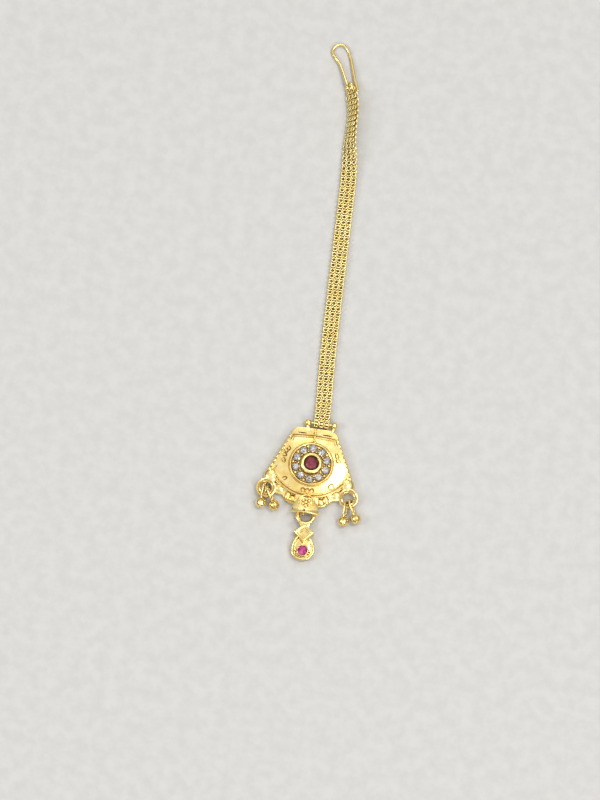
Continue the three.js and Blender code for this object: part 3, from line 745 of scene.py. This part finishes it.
def hook():
    made = [bent_wire("hook_wire", HOOK_ROUTE, WIRE, sides=5, smooth=10)]
    for end in (HOOK_ROUTE[0], HOOK_ROUTE[-1]):
        made.append(bead("wire_end", WIRE, end))
    lumps = [moved(bead("solder", 1, size=size), by=(x, y, z), turn=turn) for x, y, z, size, turn in SOLDER]
    solder = modified(joined("solder", lumps), "REMESH", mode="VOXEL", voxel_size=0.09 * MM)
    made.append(modified(solder, "SMOOTH", factor=0.6, iterations=10))
    return made


# ---- Chain ----


def route_value(column, y):
    """Value of one column of the chain's route at a given Y, on a smooth curve through the rows."""
    rows = CHAIN_ROUTE
    after = next((i for i, row in enumerate(rows) if row["y"] > y), len(rows) - 1)
    after = max(1, after)
    a, b = rows[after - 1], rows[after]

    def slope(i):
        low, high = rows[max(0, i - 1)], rows[min(len(rows) - 1, i + 1)]
        return (high[column] - low[column]) / (high["y"] - low["y"])

    span = b["y"] - a["y"]
    t = (y - a["y"]) / span
    s = 1 - t
    return (a[column] * s * s * (1 + 2 * t) + b[column] * t * t * (3 - 2 * t)
            + span * t * s * (slope(after - 1) * s - slope(after) * t))


def chain_point(y):
    turn = max(0, route_value("turn", y))
    flat = (route_value("width", y) - CHAIN["thick"]) / 2
    z = flat * math.sin(math.radians(turn)) + CHAIN["thick"] / 2 + max(0, route_value("lift", y))
    return Vector((route_value("x", y), y, z)), turn


def chain_row():
    """One row of the woven chain: front and back rings, and the links between them."""
    c = CHAIN
    made = []
    for layer, tilt, shift in ((1, -9, 0), (-1, 9, 0.5)):
        for column in (-1, 0, 1):
            place = (column * c["aside"], shift * c["pitch"], layer * c["layer"])
            wire = c["wire"] if layer > 0 else 0.21
            made.append(hoop("ring", c["ring"], wire, place, (tilt, 0, 0), (1.02, 0.98, 1.1), (16, 8)))
    for side in (-0.5, 0.5):
        place = (side * c["aside"], 0.5 * c["pitch"], 0)
        made.append(hoop("binder", 0.36, 0.15, place, (0, 90, 0), (1, 1, 1), (10, 6)))
    return joined("chain_row", made)


def mesh_chain():
    row = chain_row()
    made = []
    start, end = CHAIN_ROUTE[0]["y"] + 0.5, CHAIN_ROUTE[-1]["y"] - 0.4
    count = round((end - start) / CHAIN["pitch"])
    step = (end - start) / count
    for i in range(count + 1):
        y = start + i * step
        spot, turn = chain_point(y)
        onward, back = chain_point(y + 0.2)[0], chain_point(y - 0.2)[0]
        way = onward - back
        heading = math.degrees(math.atan2(-way.x, way.y))
        pitch = math.degrees(math.atan2(way.z, Vector((way.x, way.y)).length))
        narrow = route_value("width", y) / CHAIN["width"]
        piece = copy_of(row, "row", size=(narrow, 1, narrow))
        made.append(moved(piece, by=spot, turn=(pitch, -turn, heading)))
    centre = (1.15, ROD["y"], ROD["z"])
    for angle in (20, 75, 130, 185, 240):
        for column in (-1, 0, 1):
            ring = hoop("roll_ring", CHAIN["ring"], CHAIN["wire"], (column * 1.2, 0, 0.72), sides=(14, 7))
            made.append(moved(ring, by=centre, turn=(angle - 90, 0, 0)))
    discard(row)
    return joined("chain", made)


# ---- Finishes ----


class Flow:
    """A shader output that Python's own arithmetic works on, each step adding its Math node."""

    def __init__(self, paint, socket):
        self.paint, self.socket = paint, socket

    def maths(self, operation, *values):
        return self.paint.add("ShaderNodeMath", dict(operation=operation), dict(enumerate(values)))

    def __add__(self, other):
        return self.maths("ADD", self, other)

    def __sub__(self, other):
        return self.maths("SUBTRACT", self, other)

    def __rsub__(self, other):
        return self.maths("SUBTRACT", other, self)

    def __mul__(self, other):
        return self.maths("MULTIPLY", self, other)

    def __pow__(self, other):
        return self.maths("POWER", self, other)

    __radd__, __rmul__ = __add__, __mul__


class Paint:
    """Builds one material."""

    def __init__(self, name):
        self.material = bpy.data.materials.new(name)
        self.material.use_nodes = True
        self.tree = self.material.node_tree
        self.shader = self.tree.nodes["Principled BSDF"]
        self.place = self.add("ShaderNodeTexCoord", output="Object")

    def add(self, kind, settings=None, inputs=None, output=0):
        """Adds a node, with its settings first and then its sockets, and gives one of its outputs."""
        node = self.tree.nodes.new(kind)
        for key, value in (settings or {}).items():
            if key == "stops":
                self.set_stops(node.color_ramp, value)
            else:
                setattr(node, key, value)
        for key, value in (inputs or {}).items():
            self.feed(node.inputs[key], value)
        return Flow(self, node.outputs[output])

    def set_stops(self, ramp, stops):
        while len(ramp.elements) < len(stops):
            ramp.elements.new(1)
        for element, (spot, colour) in zip(ramp.elements, stops):
            element.position, element.color = spot, (*colour, 1)

    def feed(self, socket, value):
        if isinstance(value, Flow):
            self.tree.links.new(value.socket, socket)
        else:
            socket.default_value = value

    def set(self, **inputs):
        for key, value in inputs.items():
            self.feed(self.shader.inputs[key.replace("_", " ")], value)

    def noise(self, size, detail=3, roughness=0.55):
        """Cloudy noise whose patches are about size millimetres wide."""
        return self.add("ShaderNodeTexNoise", inputs=dict(
            Vector=self.place, Scale=1 / (size * MM), Detail=detail, Roughness=roughness))

    def cells(self, size, feature="F1", output="Distance"):
        return self.add("ShaderNodeTexVoronoi", dict(feature=feature), dict(
            Vector=self.place, Scale=1 / (size * MM)), output)

    def ramp(self, factor, *stops):
        return self.add("ShaderNodeValToRGB", dict(stops=stops), dict(Fac=factor))

    def between(self, factor, low, high, smooth=True):
        """0 below low and 1 above high."""
        how = dict(interpolation_type="SMOOTHSTEP" if smooth else "LINEAR")
        return self.add("ShaderNodeMapRange", how, {"Value": factor, "From Min": low, "From Max": high})

    def mix(self, factor, a, b, how="MIX"):
        node = dict(data_type="RGBA", blend_type=how)
        a, b = ((*c, 1) if isinstance(c, tuple) else c for c in (a, b))
        return self.add("ShaderNodeMix", node, {0: factor, 6: a, 7: b}, 2)

    def ambient_occlusion(self, reach):
        """Ambient occlusion: how open the surface is to its surroundings within some millimetres, 1 in the open and 0
        in a crevice; it drives painted shade.
        """
        return self.add("ShaderNodeAmbientOcclusion", dict(samples=8), dict(Distance=reach * MM), "AO")

    def bump(self, height, depth, strength=1.0):
        """Relief of a given depth in millimetres."""
        return self.add("ShaderNodeBump", inputs=dict(Height=height, Distance=depth * MM, Strength=strength))


def gold(name, light, rich, dark, gloss, relief, reach, crevice):
    """Cast gold: patches of tone, painted shade that darkens crevices and hollows found by ambient occlusion, and a
    fine skin.
    """
    paint = Paint(name)
    patches = paint.between(paint.noise(2.4), 0.35, 0.68)
    ao_openness = paint.ambient_occlusion(reach)
    tone = paint.mix(patches, light, rich)
    speckle = paint.between(paint.noise(0.35, 4, 0.7), 0.5, 0.78)
    tone = paint.mix(speckle * 0.3, tone, rich)
    # Painted shade: the tone goes to the dark colour where ambient occlusion finds a crevice; such spots also get
    # rougher.
    painted_shade = paint.between(ao_openness, *crevice)
    tone = paint.mix(painted_shade, dark, tone)
    shine = gloss[0] + paint.between(paint.noise(1.1, 4), 0.3, 0.75) * (gloss[1] - gloss[0])
    skin = paint.noise(0.22, 4, 0.6) * 0.6 + paint.noise(0.7, 2) * 0.4
    paint.set(Base_Color=tone, Metallic=1.0, Roughness=shine + (1 - painted_shade) * 0.25, Normal=paint.bump(skin, relief))
    return paint.material


def cut_stone(name, painted_dark_reflection, body, painted_glint, facet, clear):
    """A foil-backed stone: random facets painted from a dark reflection through the stone's colour to a bright painted
    glint, under a glossy skin.
    """
    paint = Paint(name)
    facets = paint.add("ShaderNodeSeparateColor", inputs=dict(Color=paint.cells(facet, output="Color")), output=0)
    # Painted reflections: each facet's random value picks a painted dark reflection, the body colour or a painted
    # glint.
    tone = paint.ramp(facets, (0, painted_dark_reflection), (0.35, body), (0.7, body), (1, painted_glint))
    haze = paint.noise(0.5)
    tone = paint.mix(haze * 0.35, tone, body)
    gloss = 0.04 + paint.noise(0.3) * 0.08
    paint.set(Base_Color=tone, Metallic=0.85 if clear else 0.35, Roughness=gloss)
    paint.set(Coat_Weight=1.0, Coat_Roughness=0.03, Normal=paint.bump(facets, 0.03 if clear else 0.015))
    return paint.material


def ruby(name):
    """The centre stone: a mauve table whose lower left facets carry painted pink light, inside a painted shadow ring
    where the bezel shades its edge.
    """
    paint = Paint(name)
    centre = middle("centre_stone") * MM
    spot = paint.add("ShaderNodeMapping", inputs=dict(Vector=paint.place, Location=-centre), output=0)
    out = paint.add("ShaderNodeSeparateXYZ", inputs=dict(Vector=spot), output="X")
    along = paint.add("ShaderNodeSeparateXYZ", inputs=dict(Vector=spot), output="Y")
    radius = (out * out + along * along) ** 0.5
    # Painted shadow: near black from 1.25 mm out to the edge, where the bezel shades the stone.
    ring = paint.between(radius, 1.25 * MM, 1.5 * MM)
    # Painted light: lighter pink on facets towards the lower left side.
    lower = paint.between(out * -0.6 - along * 0.8, 0.5 * MM, 1.2 * MM)
    facets = paint.add("ShaderNodeSeparateColor", inputs=dict(Color=paint.cells(0.9, output="Color")), output=1)
    tone = paint.mix(paint.between(facets, 0.1, 0.9), (0.13, 0.004, 0.016), (0.22, 0.014, 0.035))
    tone = paint.mix(lower * facets * 0.9, tone, (0.5, 0.08, 0.13))
    tone = paint.mix(ring, tone, (0.02, 0.001, 0.002))
    paint.set(Base_Color=tone, Roughness=0.22 + paint.noise(0.4) * 0.1, Coat_Weight=0.3, Coat_Roughness=0.12)
    return paint.material


def table_finish():
    paint = Paint("pale_table")
    grain = paint.noise(3.0, 6, 0.6)
    tone = paint.mix(paint.between(grain, 0.3, 0.7), (0.53, 0.525, 0.515), (0.58, 0.575, 0.565))
    paint.set(Base_Color=tone, Roughness=0.75 + grain * 0.1, Normal=paint.bump(grain, 0.05))
    return paint.material


def table_top(finish):
    bpy.ops.object.select_all(action="DESELECT")
    bpy.ops.mesh.primitive_plane_add(size=1.6)
    floor = named("table_top")
    with editing(floor):
        bpy.ops.mesh.subdivide(number_cuts=3)
        pick(floor, "edges", lambda spot, way: spot.y > 799 and abs(way.y) < 1e-6)
        bpy.ops.mesh.extrude_region_move(TRANSFORM_OT_translate=dict(value=(0, 0.3, 0.5)))
    moved(floor, by=(0, 0, CAD_BOX[0][2] / MM - 0.02))
    floor.data.materials.append(finish)
    smoothed(floor)


def finished(obj, nodes, finish, smooth=SMOOTH):
    """Moves a piece from the ornament's own axes to the frame's, paints it, hangs it under the root body and hides the
    CAD nodes it stands for.
    """
    moved(obj, by=HUB)
    obj.data.materials.clear()
    obj.data.materials.append(finish)
    smoothed(obj, smooth)
    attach(obj, "root")
    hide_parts(*nodes)


def build():
    # Each gold's third colour is the painted shade laid into its crevices and the chain's holes.
    plate_gold = gold("satin_gold", (0.98, 0.8, 0.36), (0.93, 0.68, 0.22), (0.3, 0.12, 0.012), (0.24, 0.36),
                      0.005, 0.9, (0.22, 0.7))
    bright_gold = gold("polished_gold", (0.98, 0.8, 0.36), (0.94, 0.69, 0.24), (0.25, 0.09, 0.01), (0.14, 0.26),
                       0.005, 0.9, (0.2, 0.75))
    chain_gold = gold("chain_gold", (1.0, 0.84, 0.4), (0.97, 0.76, 0.3), (0.025, 0.008, 0.001), (0.26, 0.38),
                      0.002, 0.7, (0.28, 0.66))
    # Each stone's first colour is its painted dark reflection and its third its painted glint.
    clear = cut_stone("clear_stone", (0.012, 0.011, 0.011), (0.68, 0.66, 0.65), (1.0, 1.0, 1.0), 0.36, True)
    pink = cut_stone("pink_stone", (0.16, 0.002, 0.05), (0.42, 0.012, 0.17), (0.8, 0.14, 0.42), 0.5, False)
    red = ruby("red_stone")
    groups = dict(
        back_plate=[back_plate()], field=[domed_field()], borders=borders(), lobes=lobes(),
        corner_rings=corner_rings(), petals=petals(), bead_strip=bead_strip(),
        chain_bar=chain_bar(), stone_setting=setting(), bell=bell(),
    )
    for name, made in groups.items():
        finished(joined(name, made), ["pendant_plate"], plate_gold)
    finished(drop(), ["drop"], bright_gold)
    for name, (ball_place, link_end) in GHUNGROOS.items():
        finished(ghungroo(f"{name}_metal", ball_place, link_end), [name], bright_gold)
    finished(joined("hook_metal", hook()), ["hair_hook"], bright_gold)
    finished(mesh_chain(), ["mesh_chain"], chain_gold, math.radians(60))
    for name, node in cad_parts.items():
        for word, finish in (("centre_stone", red), ("drop_stone", pink), ("ring_stone", clear)):
            if name.startswith(word):
                node.data.materials.clear()
                node.data.materials.append(finish)
    table_top(table_finish())


camera()
studio()
build()
